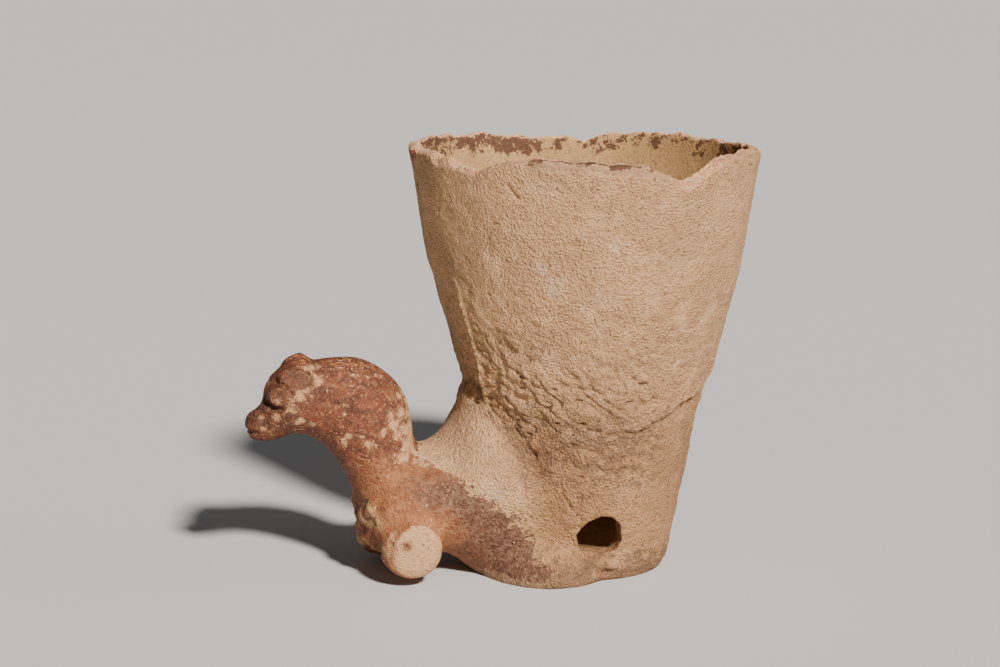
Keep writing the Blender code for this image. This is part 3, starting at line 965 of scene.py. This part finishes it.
    # Grain stands up on bare clay, and lies flatter on slip and inside
    calm = larger(tree, times(tree, slip, 0.5), times(tree, inside, 0.86))
    calm = larger(tree, calm, times(tree, share_of(tree, "lip_band"), 0.8))
    calm = larger(tree, calm, times(tree, brushed, 0.7))
    calm = larger(tree, calm, times(tree, rubbed, 1.2))
    lively = minus(tree, 1.0, calm)
    combed = times(tree, strokes, times(tree, brushed, 0.7))
    bumps = plus(tree, times(tree, height, lively), combed)
    flakes = times(tree, plus(tree, worn, broken), -0.12)
    bumps = plus(tree, bumps, flakes)
    bumped = node(tree, "ShaderNodeBump", {"Height": bumps, "Strength": 1.0, "Distance": GRAIN_DEPTH})
    tree.links.new(bumped.outputs["Normal"], shader.inputs["Normal"])
    return material


# Lights: name, turn, rise, width of the source in degrees, strength, tint
LIGHTS = (
    ("key", -80, 35, 6, 7.2, (1.0, 0.95, 0.89)),
    ("side", -12, 24, 30, 0.2, (1.0, 0.97, 0.93)),
)
FLOOR_PAPER = (0.60, 0.595, 0.585, 1)
ROOM_LIGHT = (0.93, 0.95, 1.0, 1)
ROOM_STRENGTH = 0.10


def studio_floor():
    """A wide sheet of pale matt paper under the vessel."""
    bpy.ops.mesh.primitive_plane_add(size=60, location=(0, 0, 0))
    floor = bpy.context.object
    floor.name = "studio_floor"
    paint = bpy.data.materials.new("floor_paper")
    paint.use_nodes = True
    shader = paint.node_tree.nodes["Principled BSDF"]
    shader.inputs["Base Color"].default_value = FLOOR_PAPER
    shader.inputs["Roughness"].default_value = 0.85
    floor.data.materials.append(paint)


def room_light():
    """A strong lamp on the near side, a weak one on the right, and a dim soft room."""
    world = bpy.data.worlds.new("soft_room")
    bpy.context.scene.world = world
    world.use_nodes = True
    sky = world.node_tree.nodes["Background"]
    sky.inputs["Color"].default_value = ROOM_LIGHT
    sky.inputs["Strength"].default_value = ROOM_STRENGTH
    for name, turn, rise, width, power, tint in LIGHTS:
        light = bpy.data.lights.new(name, "SUN")
        light.energy = power
        light.angle = math.radians(width)
        light.color = tint
        lamp = bpy.data.objects.new(name, light)
        bpy.context.scene.collection.objects.link(lamp)
        turn, rise = math.radians(turn), math.radians(rise)
        flat = math.cos(rise)
        way = Vector((math.cos(turn) * flat, math.sin(turn) * flat, math.sin(rise)))
        lamp.location = way
        lamp.rotation_euler = way.to_track_quat("Z", "Y").to_euler()


# Camera: turn and rise in degrees, lens in millimetres, the rest in metres
CAMERA_TURN = -15.0
CAMERA_RISE = 10.2
CAMERA_LENS = 86.4
CAMERA_AWAY = 0.864
AIM_HEIGHT = 0.084
AIM_LEFT = 0.03024


def camera():
    """Looks a little down at the near side, from left of the middle."""
    turn, rise = math.radians(CAMERA_TURN), math.radians(CAMERA_RISE)
    flat = math.cos(rise)
    back = Vector((math.sin(turn) * flat, -math.cos(turn) * flat, math.sin(rise)))
    right = Vector((math.cos(turn), math.sin(turn), 0))
    up = back.cross(right)
    lens = bpy.data.cameras.new("camera")
    lens.sensor_width = 36
    lens.lens = CAMERA_LENS
    made = bpy.data.objects.new("camera", lens)
    bpy.context.scene.collection.objects.link(made)
    place = Vector((0, 0, AIM_HEIGHT)) + back * CAMERA_AWAY - right * AIM_LEFT
    made.matrix_world = Matrix.Translation(place) @ Matrix((right, up, back)).transposed().to_4x4()
    bpy.context.scene.camera = made


vessel, rim = skin_of(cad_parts["vessel"])
push_out(vessel, relief(Surface(vertices_mm(vessel.data), rim)))
thin_out(vessel, rim)
paint_masks(vessel, rim)
vessel.vertex_groups.clear()
vessel.data.shade_smooth()
vessel.data.materials.append(clay_material())
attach(vessel, "root")
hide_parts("vessel")
studio_floor()
room_light()
camera()
